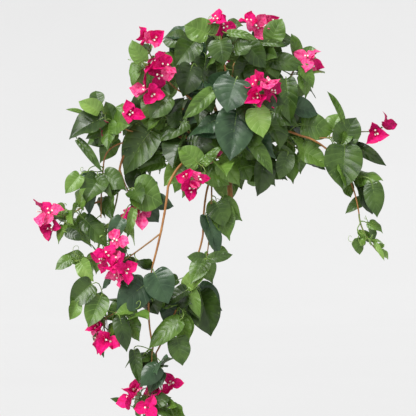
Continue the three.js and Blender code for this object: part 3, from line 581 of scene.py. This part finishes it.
def smooth(stations, t):
    """A smooth curve through evenly spaced stations, at shares t of its length."""
    p = np.asarray(stations, float)
    p = p.reshape(len(p), -1)
    p = np.concatenate([2 * p[:1] - p[1:2], p, 2 * p[-1:] - p[-2:-1]])
    s = np.asarray(t) * (len(p) - 3)
    i = np.minimum(s.astype(int), len(p) - 4)
    f = (s - i)[:, None]
    a, b, c, d = p[i], p[i + 1], p[i + 2], p[i + 3]
    return b + f * ((c - a) + f * ((2 * a - 5 * b + 4 * c - d) + f * (3 * b - a - 3 * c + d))) / 2


def blade_grid(margin, rib, veins, lines, columns):
    """The grid of a leaf or bract: places along and across, the relief between its veins, how much
    of each place is vein, and its faces with their looks (0 above and on the rim, 1 veins, 2 under)."""
    narrow = 0.006 if lines else 0
    rows, puff = [0, veins[0] / 2], [0, 0.6]
    for i, vein in enumerate(veins):
        rows += [vein - narrow, vein + narrow] if lines else [vein]
        puff += [0, 0] if lines else [0]
        after = veins[i + 1] if i + 1 < len(veins) else 1
        rows.append((vein + after) / 2)
        puff.append(1 if after < 1 else 0.3)
    rows, puff = np.array(rows + [1]), np.array(puff + [0])
    edge = smooth(margin, rows)
    start = smooth(rib, rows)[:, 0]
    half = np.minimum(0.014 * (1 - 0.6 * rows), 0.35 * edge[:, 1])
    out = np.array(columns)
    share = np.concatenate([-out[::-1], [0, 0], out])
    sign = np.concatenate([-np.ones(len(out) + 1), np.ones(len(out) + 1)])
    w = np.abs(share)
    x = start[:, None] + (edge[:, 0] - start)[:, None] * w**1.3
    y = sign * (half[:, None] + (edge[:, 1] - half)[:, None] * w)
    swell = puff[:, None] * np.sin(np.pi * np.clip(w * 0.94 + 0.03, 0, 1)) ** 0.8
    vein = (puff[:, None] == 0) * (1 - 0.6 * w)
    vein[:, len(out) : len(out) + 2] = 1
    n, m = x.shape
    index = np.arange(n * m).reshape(n, m)
    quads = np.stack([index[:-1, :-1], index[:-1, 1:], index[1:, 1:], index[1:, :-1]], axis=2)
    looks = np.zeros(quads.shape[:2], int)
    looks[:, len(out)] = 1
    if lines:
        looks[np.diff(rows) < 3 * narrow] = 1
    loop = np.concatenate([index[0, :-1], index[:-1, -1], index[-1, :0:-1], index[:0:-1, 0]])
    after = np.roll(loop, -1)
    rim = np.stack([after, loop, loop + n * m, after + n * m], axis=1)
    top = quads.reshape(-1, 4)
    under = top[:, ::-1] + n * m
    under_looks = np.where(looks.reshape(-1) == 1, 1, 2)
    return SimpleNamespace(
        x=x.ravel(), y=y.ravel(), swell=swell.ravel(), vein=vein.ravel(),
        faces=[top, under, rim], looks=[looks.ravel(), under_looks, np.zeros(len(rim), int)],
    )


def bent(form, x, y, lift):
    """Places on a blade: x along it and y across it as shares, and lift off it in millimetres."""
    side = np.cross(form.way, form.face)
    turn = form.twist * np.clip(x, 0, 1)
    width = form.width
    rise = (
        2 * form.fold * (np.sqrt(y * y + 0.0016) - 0.04) * width
        + form.curl * y * y * width
        + form.wave * width * np.sin(2 * np.pi * (1.7 * x + form.phase) + np.sign(y)) * (2 * y) ** 2
        + form.arch * (x - x * x) * form.length
        - form.tuck * np.clip(x - 0.62, 0, 1) ** 2 * form.length
        + lift
    )
    cos, sin = np.cos(turn)[:, None], np.sin(turn)[:, None]
    return (
        form.base
        + form.way * (x * form.length)[:, None]
        + (side * cos + form.face * sin) * (y * width)[:, None]
        + (form.face * cos - side * sin) * rise[:, None]
        + side * (form.bend * x * x * form.length)[:, None]
        - UP * (form.droop * x * x * form.length)[:, None]
    )


def blade(sheaf, form, grid, thick, puff, ridge):
    """A closed leaf or bract: its upper face puffed between its veins, which stand out below."""
    relief = puff * (grid.swell - 0.35 * grid.vein)
    above = bent(form, grid.x, grid.y, relief)
    below = bent(form, grid.x, grid.y, relief - thick - ridge * grid.vein)
    sheaf.add(np.concatenate([above, below]), grid.faces, grid.looks)


def shaped_leaf(leaf):
    """A leaf with its own curl, wave and twist."""
    dice = Dice(leaf.twist_seed + 77)
    calm = leaf.calm
    roll = (calm - CHIEF_CALM) * dice.span(-ROLL, ROLL)
    side = np.cross(leaf.way, leaf.face)
    leaf.face = leaf.face * math.cos(roll) + side * math.sin(roll)
    leaf.fold, leaf.droop = FOLD * dice.span(0.2, 2.6), DROOP
    leaf.curl = calm * dice.span(-0.9, 0.5)
    leaf.wave, leaf.phase = dice.span(0.02, 0.07), dice.roll()
    leaf.arch, leaf.tuck = dice.span(-0.02, 0.2), dice.span(-0.3, 1.1) * calm
    leaf.twist, leaf.bend = calm * dice.span(-0.7, 0.7), calm * dice.span(-0.1, 0.1)
    return leaf


def shaped_bract(flower, i):
    """A bract with its own lift, turn, crumple and width."""
    dice = Dice(flower.seed * 3 + i + 4100)
    flat, up = bract_ways(flower, i)
    lift, turn = dice.span(-0.5, 0.55), dice.span(-0.3, 0.3)
    way = flat * math.cos(lift) + up * math.sin(lift)
    face = up * math.cos(lift) - flat * math.sin(lift)
    face = face * math.cos(turn) + np.cross(way, face) * math.sin(turn)
    return SimpleNamespace(
        base=flower.base + way * 1.2, way=way, face=face, length=flower.size * dice.span(0.9, 1.04),
        width=flower.size * BRACT_WIDE * dice.span(1.0, 1.25), fold=dice.span(-0.12, 0.4),
        droop=0.03, curl=dice.span(-0.7, 0.9), wave=dice.span(0.05, 0.15), phase=dice.roll(),
        arch=dice.span(-0.5, 0.25), tuck=dice.span(-1.3, 1.3), twist=dice.span(-0.7, 0.7),
        bend=dice.span(-0.1, 0.1), tone=dice.roll(),
    )


def rings(path, radii, sides, relief=None):
    """Rings of points round a path, turned as little as possible from one to the next."""
    path = np.asarray(path, float)
    ways = np.gradient(path, axis=0)
    ways /= np.linalg.norm(ways, axis=1)[:, None]
    u = across(ways[0])[0]
    turns = 2 * np.pi * np.arange(sides) / sides
    out = []
    for i, (centre, way, r) in enumerate(zip(path, ways, radii)):
        u = squared(u, way)
        v = np.cross(way, u)
        rim = r * (relief(i, turns) if relief else np.ones(sides))
        out.append(centre + (u * np.cos(turns)[:, None] + v * np.sin(turns)[:, None]) * rim[:, None])
    return np.concatenate(out)


def skin(sheaf, points, sides, looks):
    """Walls from ring to ring of points, each with its look, and a flat cap at each end."""
    index = np.arange(len(points)).reshape(-1, sides)
    after = np.roll(index, -1, axis=1)
    walls = np.stack([index[:-1], after[:-1], after[1:], index[1:]], axis=2).reshape(-1, 4)
    caps = np.stack([index[0, ::-1], index[-1]])
    sheaf.add(points, [walls, caps], [np.repeat(looks, sides), [looks[0], looks[-1]]])


def tube(sheaf, path, radii, sides, relief=None):
    """A closed tube along a path."""
    skin(sheaf, rings(path, radii, sides, relief), sides, [0] * (len(path) - 1))


def bow(a, b, c, d, count):
    """Points of a cubic curve from a to d that heads for b and comes from c."""
    t = np.linspace(0, 1, count)[:, None]
    return (1 - t) ** 3 * a + 3 * t * (1 - t) ** 2 * b + 3 * t * t * (1 - t) * c + t**3 * d


def lengths(path):
    """How far along a path each of its points lies."""
    return np.concatenate([[0], np.cumsum(np.linalg.norm(np.diff(path, axis=0), axis=1))])


def sleeve(path, radius, swell):
    """Radii along a twig: thicker at its root, in the sleeve that holds it to its stem."""
    return radius + swell * np.exp(-((lengths(path) / SLEEVE) ** 2))


def grow_twig(sheaf, leaf):
    """A leaf's twig, from inside its stem to its base, and on as the rib on the leaf's underside."""
    start = leaf.host.path_at_side if hasattr(leaf, "host") else leaf.root
    chord = leaf.base - start
    long = np.linalg.norm(chord)
    sag = Dice(leaf.twist_seed + 9)
    lean = vec(sag.span(-0.7, 0.7), sag.span(-0.5, 0.5), sag.span(-0.1, 0.9))
    first = start + unit(unit(chord) + lean) * long * 0.4
    path = bow(start, first, leaf.base - leaf.way * long * 0.4, leaf.base, 9)
    leaf.path_at_side = path[5]
    x = np.linspace(0.04, 0.62, 6)
    rib = bent(leaf, x, np.zeros(6), np.full(6, -LEAF_THICK - 0.35))
    radii = np.concatenate([sleeve(path, TWIG_R, 0.7), np.linspace(0.7, 0.2, 6)])
    tube(sheaf, np.concatenate([path, rib]), radii, 7)


def tendril(sheaf, leaf):
    """A thin curl that leaves a young leaf's twig."""
    dice = Dice(leaf.twist_seed + 61)
    if leaf.tone < CURLY_TONE or dice.roll() > CURLY:
        return
    lean = vec(dice.span(-1, 1), dice.span(-0.6, 0.6), dice.span(-0.8, 0.8))
    way = unit(unit(leaf.base - leaf.root) + lean)
    side = squared(vec(dice.span(-1, 1), dice.span(-0.5, 0.5), dice.span(-1, 1)), way)
    t = np.linspace(0, 1, 24)[:, None]
    turn = dice.span(4, 9) * t**2
    steps = way * np.cos(turn) + side * np.sin(turn) + np.cross(way, side) * 0.2
    path = leaf.path_at_side + np.cumsum(steps, axis=0) * dice.span(24, 42) / len(t)
    if inside(path):
        tube(sheaf, path, np.linspace(0.6, 0.3, len(t)), 6)


# A floret's stations from foot to mouth: share of its length, radius, depth of its lobes, and look.
FLORET = [
    (0, 0.6, 0, 0), (0.3, 0.75, 0, 0), (0.75, 0.65, 0, 0), (0.9, 0.9, 0, 1), (1, 1.8, 0.25, 1),
    (1.04, 1.6, 0.25, 1), (0.97, 0.7, 0.1, 1),
]
FLORET_SIDES = 10


def floret(sheaf, foot, way, length):
    """A slim tube that opens in a white star of five lobes."""
    u = across(way)[0]
    v = np.cross(way, u)
    turns = 2 * np.pi * np.arange(FLORET_SIDES) / FLORET_SIDES
    rim = u * np.cos(turns)[:, None] + v * np.sin(turns)[:, None]
    points = np.concatenate([
        foot + way * (share * length) + rim * (radius * (1 + lobe * np.cos(5 * turns)))[:, None]
        for share, radius, lobe, _ in FLORET
    ])
    skin(sheaf, points, FLORET_SIDES, [look for _, _, _, look in FLORET[1:]])


def grow_flower(stalks, bracts, florets, flower):
    """A flower: its stalk, three bracts, and a floret on the foot of most of them."""
    long = np.linalg.norm(flower.base - flower.root)
    heel = flower.base - flower.way * 1.5
    first = flower.root + unit(unit(heel - flower.root) + UP * 0.25) * long * 0.35
    path = bow(flower.root, first, heel - flower.way * long * 0.35, heel, 9)
    radii = sleeve(path, STALK_R, 0.6)
    radii[-2:] += (0.3, 1.0)  # the stalk flares under its bracts
    tube(stalks, path, radii, 7)
    dice = Dice(flower.seed + 8200)
    for i in range(3):
        form = shaped_bract(flower, i)
        tone = 0.7 * form.tone + 0.3 * Dice(flower.seed).roll()
        shade = min(len(bracts) - 1, int(len(bracts) * tone))
        blade(bracts[shade], form, BRACT_GRID, BRACT_THICK, BRACT_PUFF, RIDGE)
        way, _ = bract_ways(flower, i)
        if dice.roll() < FLORETS:
            lean = unit(flower.way + way * dice.span(0.1, 0.9))
            floret(florets, flower.base + way * 1.2, lean, dice.span(6, 11))


def wire(sheaf, path, r0, r1, sides, seed, rough, knots):
    """A covered wire, with small knots along it and faint ridges round it. Knots and rough are how
    far those stand out, over the wire's radius."""
    along = lengths(path)
    radii = np.linspace(r0, r1, len(path))
    dice = Dice(seed)
    spot = dice.span(0.3, 0.9) * KNOT_GAP
    while spot < along[-1] - 4:
        radii += knots * radii * np.exp(-(((along - spot) / KNOT_LONG) ** 2))
        spot += KNOT_GAP * dice.span(0.6, 1.3)
    phases = [dice.span(0, 6.28) for _ in range(4)]

    def relief(i, turns):
        s = along[i]
        bumps = np.sin(3 * turns + 0.21 * s + phases[0]) + np.sin(5 * turns - 0.37 * s + phases[1])
        fine = np.sin(7 * turns + 0.9 * s + phases[2]) + np.sin(2 * turns + 1.7 * s + phases[3])
        return 1 + rough * (bumps + 0.6 * fine) / 2

    tube(sheaf, path, radii, sides, relief)


def path_of(line):
    """A route's points, about ROW_GAP apart."""
    rough = np.array([line.at(t) for t in np.linspace(0, 1, 12)])
    long = np.linalg.norm(np.diff(rough, axis=0), axis=1).sum()
    count = max(4, round(long / ROW_GAP))
    return np.array([line.at(t) for t in np.linspace(0, 1, count)])


# ---- materials ----
def linear(rgb):
    """A colour given as 0 to 255 screen values, as Blender's linear one."""
    out = [((c / 255 + 0.055) / 1.055) ** 2.4 if c > 10 else c / 255 / 12.92 for c in rgb]
    return (*out, 1)


def finish(name, dark, light, scale, rough, bump, grain, deep=0.0004, specular=0.5):
    """A cloth or plastic finish: two near shades in soft patches, uneven gloss and a fine grain.
    Scale is the patches', rough the least and most roughness, and bump, grain and deep are the
    strength, scale and depth of the grain."""
    material = bpy.data.materials.new(name)
    material.use_nodes = True
    nodes, links = material.node_tree.nodes, material.node_tree.links
    shader = nodes["Principled BSDF"]
    where = nodes.new("ShaderNodeTexCoord").outputs["Object"]

    def noise(size, detail):
        texture = nodes.new("ShaderNodeTexNoise")
        texture.inputs["Scale"].default_value = size
        texture.inputs["Detail"].default_value = detail
        links.new(where, texture.inputs["Vector"])
        return texture.outputs["Fac"]

    patches = noise(scale, 4)
    shades = nodes.new("ShaderNodeValToRGB")
    shades.color_ramp.elements[0].position = 0.35
    shades.color_ramp.elements[1].position = 0.65
    shades.color_ramp.elements[0].color = linear(dark)
    shades.color_ramp.elements[1].color = linear(light)
    links.new(patches, shades.inputs["Fac"])
    links.new(shades.outputs["Color"], shader.inputs["Base Color"])
    gloss = nodes.new("ShaderNodeMapRange")
    gloss.inputs["To Min"].default_value, gloss.inputs["To Max"].default_value = rough
    links.new(patches, gloss.inputs["Value"])
    links.new(gloss.outputs["Result"], shader.inputs["Roughness"])
    relief = nodes.new("ShaderNodeBump")
    relief.inputs["Strength"].default_value = bump
    relief.inputs["Distance"].default_value = deep
    links.new(noise(grain, 2), relief.inputs["Height"])
    links.new(relief.outputs["Normal"], shader.inputs["Normal"])
    shader.inputs["Specular IOR Level"].default_value = specular
    return material


# Greens from old to young, with the tone from which each is used: two shades of the upper side, the
# underside and the veins.
GREENS = {
    "blue": (-1.0, (36, 62, 38), (62, 90, 58), (80, 104, 70), (52, 80, 50)),
    "old": (0.0, (30, 50, 14), (56, 80, 28), (78, 100, 48), (46, 68, 24)),
    "deep": (0.2, (44, 70, 20), (74, 102, 36), (94, 120, 56), (70, 98, 38)),
    "mid": (0.42, (64, 94, 26), (94, 128, 46), (112, 142, 68), (96, 128, 52)),
    "light": (0.62, (88, 122, 42), (110, 144, 60), (126, 156, 82), (114, 146, 66)),
    "young": (0.82, (110, 146, 58), (136, 168, 80), (144, 172, 96), (138, 170, 88)),
}
PINKS = [  # deep, plain and pale bracts: two shades of the face, and the veins
    ((160, 0, 72), (208, 2, 108), (146, 0, 66)),
    ((206, 0, 94), (242, 22, 130), (178, 0, 84)),
    ((228, 24, 114), (252, 112, 166), (208, 10, 106)),
]


def green_of(leaf):
    """The name of a leaf's green. Some of the darkest leaves are blue-green."""
    if leaf.tone < BLUE_TONE and Dice(leaf.twist_seed + 5).roll() < BLUE:
        return "blue"
    return [name for name, row in GREENS.items() if row[0] <= leaf.tone][-1]


# ---- growing and dressing it all ----
LEAF_COLUMNS = (0.3, 0.56, 0.8, 1)
HEART_GRID = blade_grid(HEART_MARGIN, LEAF_RIB, LEAF_VEINS, True, LEAF_COLUMNS)
ROUND_GRID = blade_grid(ROUND_MARGIN, LEAF_RIB, LEAF_VEINS, True, LEAF_COLUMNS)
BRACT_GRID = blade_grid(BRACT_MARGIN, BRACT_RIB, BRACT_VEINS, False, (0.35, 0.7, 1))

masses = []
for seed, (name, row) in enumerate(MASSES.items(), 1):
    _, _, _, _, count, sizes, reach, bare, fresh, blooms, chief = row
    masses.append(SimpleNamespace(
        name=name, stem=route(name), count=count, sizes=sizes, reach=reach, bare=bare, fresh=fresh,
        blooms=blooms, chief=chief, seed=seed,
    ))

greens = {name: Sheaf() for name in GREENS}
twigs, tendrils, stalks, florets = Sheaf(), Sheaf(), Sheaf(), Sheaf()
bracts = [Sheaf() for _ in PINKS]
brown_stems, green_stems = Sheaf(), Sheaf()

growth = [(mass, *grown(mass)) for mass in masses]
front_limbs = [name for name in LIMBS if not name.startswith("back")]
wires = [[route(name).at(t) for t in np.linspace(0, 1, 24)] for name in front_limbs]
blossom = [
    [flower.base + bract_ways(flower, i)[0] * flower.size * x for i in range(3) for x in (0.4, 1)]
    for _, _, flowers in growth
    for flower in flowers
]
shown = np.concatenate(wires + blossom)
taken = [spots(leaf) for _, leaves, _ in growth for leaf in leaves]
taken += [np.array(row) for row in blossom]
first = np.concatenate(taken)
for mass, leaves, _ in growth:
    share, small = FINER if mass.stem.at(0.5)[2] > CROWN_FOOT else FINER_TRAIL
    leaves += finer(mass, first, shown, taken, share, small)

for mass, leaves, flowers in growth:
    for leaf in leaves:
        shaped_leaf(leaf)
        grow_twig(twigs, leaf)
        tendril(tendrils, leaf)
        rounder = Dice(leaf.twist_seed + 31).roll() < (1 if leaf.calm < 1 else ROUNDER)
        grid = ROUND_GRID if rounder else HEART_GRID
        blade(greens[green_of(leaf)], leaf, grid, LEAF_THICK, PUFF * leaf.length, RIDGE)
    for flower in flowers:
        grow_flower(stalks, bracts, florets, flower)
    sheaf = green_stems if mass.fresh > 0.6 else brown_stems
    wire(sheaf, path_of(mass.stem), *STEM_R, sides=10, seed=mass.seed, rough=0.03, knots=0.12)

boughs, bark = Sheaf(), Sheaf()
for i, (name, (_, _, _, _, r0, r1)) in enumerate(LIMBS.items()):
    if name == "trunk":
        wire(bark, path_of(route(name)), r0, r1, sides=24, seed=5, rough=0.045, knots=0.09)
    else:
        wire(boughs, path_of(route(name)), r0, r1, sides=12, seed=100 + i, rough=0.035, knots=0.13)

mass_nodes = list(MASSES)
for name, (_, dark, light, under, vein) in GREENS.items():
    shades = [
        finish("leaf_" + name, dark, light, 45, (0.26, 0.42), 0.35, 500),
        finish("vein_" + name, vein, [c + 8 for c in vein], 60, (0.35, 0.5), 0.1, 900),
        finish("under_" + name, under, [c + 10 for c in under], 45, (0.55, 0.7), 0.3, 1400),
    ]
    piece = greens[name].piece("leaves_" + name, shades)
    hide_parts(*mass_nodes)
for i, (dark, light, vein) in enumerate(PINKS):
    shades = [
        finish(f"bract_{i}", dark, light, 240, (0.45, 0.6), 0.6, 320, 0.0016, 0.2),
        finish(f"bract_vein_{i}", vein, light, 60, (0.5, 0.6), 0.1, 900, 0.0004, 0.2),
        finish(f"bract_under_{i}", dark, light, 240, (0.5, 0.65), 0.6, 320, 0.0016, 0.2),
    ]
    piece = bracts[i].piece(f"bracts_{i}", shades)
    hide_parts(*mass_nodes)

twig_green = finish("twig_green", (92, 124, 46), (130, 158, 74), 70, (0.45, 0.6), 0.3, 700)
curl_green = finish("curl_green", (128, 158, 70), (158, 182, 96), 70, (0.4, 0.55), 0.3, 700)
stalk_green = finish("stalk_green", (96, 118, 62), (140, 110, 84), 50, (0.45, 0.6), 0.3, 700)
floret_tube = finish("floret_tube", (206, 60, 120), (222, 140, 150), 90, (0.5, 0.6), 0.2, 900)
cream = finish("floret_cream", (240, 236, 214), (252, 250, 240), 120, (0.45, 0.6), 0.15, 900)
bough_brown = finish("bough_cover", (144, 92, 46), (182, 128, 72), 60, (0.45, 0.65), 0.5, 500)
stem_brown = finish("stem_brown", (132, 94, 50), (164, 122, 70), 60, (0.45, 0.65), 0.5, 500)
stem_green = finish("stem_green", (104, 122, 58), (138, 140, 80), 60, (0.45, 0.65), 0.4, 500)
bark_brown = finish("trunk_bark", (104, 66, 36), (168, 116, 62), 130, (0.5, 0.75), 0.9, 350)

for name, sheaf, look in (
    ("twigs", twigs, [twig_green]),
    ("tendrils", tendrils, [curl_green]),
    ("flower_stalks", stalks, [stalk_green]),
    ("florets", florets, [floret_tube, cream]),
    ("spray_stems", brown_stems, [stem_brown]),
    ("young_stems", green_stems, [stem_green]),
):
    piece = sheaf.piece(name, look)
    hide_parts(*mass_nodes)
piece = boughs.piece("bough_covers", [bough_brown])
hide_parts(*[name for name in LIMBS if name != "trunk"])
piece = bark.piece("stem_bark", [bark_brown])
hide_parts("trunk")

# ---- studio and camera, in metres ----
FLOOR_Z = CAD_LOW.z - 0.03
BOWL = 7.5  # radius of the pale floor, which sweeps up into a wall
SWEEP = 2.5  # radius of that sweep
WALL_TOP = 7.0
GLOW = 0.51  # how strongly the paper glows, which evens its tone
PICTURE = 416  # squares of the front sheet across the picture
SENSOR = 36  # width of the camera's sensor, in millimetres


def studio():
    """A pale floor that sweeps up into a round wall."""
    inner = BOWL - SWEEP
    turns = np.linspace(0.1, 1.57, 14)
    profile = [(0.0, 0.0), (inner, 0.0)]
    profile += [(inner + SWEEP * math.sin(a), SWEEP - SWEEP * math.cos(a)) for a in turns]
    profile.append((BOWL, WALL_TOP))
    sides = 64
    points = [(0, 0, FLOOR_Z)]
    for r, z in profile[1:]:
        for k in range(sides):
            a = 2 * math.pi * k / sides
            points.append((r * math.cos(a), r * math.sin(a), FLOOR_Z + z))
    faces = [(0, 1 + k, 1 + (k + 1) % sides) for k in range(sides)]
    for i in range(len(profile) - 2):
        for k in range(sides):
            a, b = 1 + i * sides + k, 1 + i * sides + (k + 1) % sides
            faces.append((a, a + sides, b + sides, b))
    mesh = bpy.data.meshes.new("studio")
    mesh.from_pydata(points, [], faces)
    mesh.shade_smooth()
    paper = finish("studio_paper", (136, 136, 136), (138, 138, 138), 2, (0.9, 1.0), 0.0, 40)
    shader = paper.node_tree.nodes["Principled BSDF"]
    shader.inputs["Emission Color"].default_value = (1, 1, 1, 1)
    shader.inputs["Emission Strength"].default_value = GLOW
    mesh.materials.append(paper)
    obj = linked("studio", mesh)


def softbox(name, place_at, size, power):
    """A square soft light that faces the middle of the bush."""
    data = bpy.data.lights.new(name, "AREA")
    data.shape, data.size, data.energy = "SQUARE", size, power
    obj = linked(name, data)
    obj.location = place_at
    aim = Vector((0, 0, 0.05)) - Vector(place_at)
    obj.rotation_euler = aim.to_track_quat("-Z", "Y").to_euler()
    obj.visible_camera = False


def sun(name, toward, strength, angle):
    """A broad, even light that comes down the given way."""
    data = bpy.data.lights.new(name, "SUN")
    data.energy, data.angle = strength, math.radians(angle)
    linked(name, data).rotation_euler = Vector(toward).to_track_quat("-Z", "Y").to_euler()


studio()
sun("key", (0.35, 0.6, -1.0), 2.25, 25)
softbox("left", (-2.0, -2.4, 1.6), 1.2, 40)

world = bpy.data.worlds.new("studio_light")
world.use_nodes = True
sky = world.node_tree.nodes["Background"]
sky.inputs["Color"].default_value = (1, 1, 1, 1)
sky.inputs["Strength"].default_value = 0.45
bpy.context.scene.world = world
bpy.context.scene.view_settings.view_transform = "Standard"

camera = linked("camera", bpy.data.cameras.new("camera"))
across_view = PICTURE * SQUARE / 1000  # width of the picture at the stem, in metres
camera.data.sensor_width = SENSOR
camera.data.lens = SENSOR * SIGHT / 1000 / across_view
eye = place((*SHEET_MID, 0)) / 1000
camera.location = (eye[0], -SIGHT / 1000, eye[2])
camera.rotation_euler = (math.radians(90), 0, 0)
bpy.context.scene.camera = camera
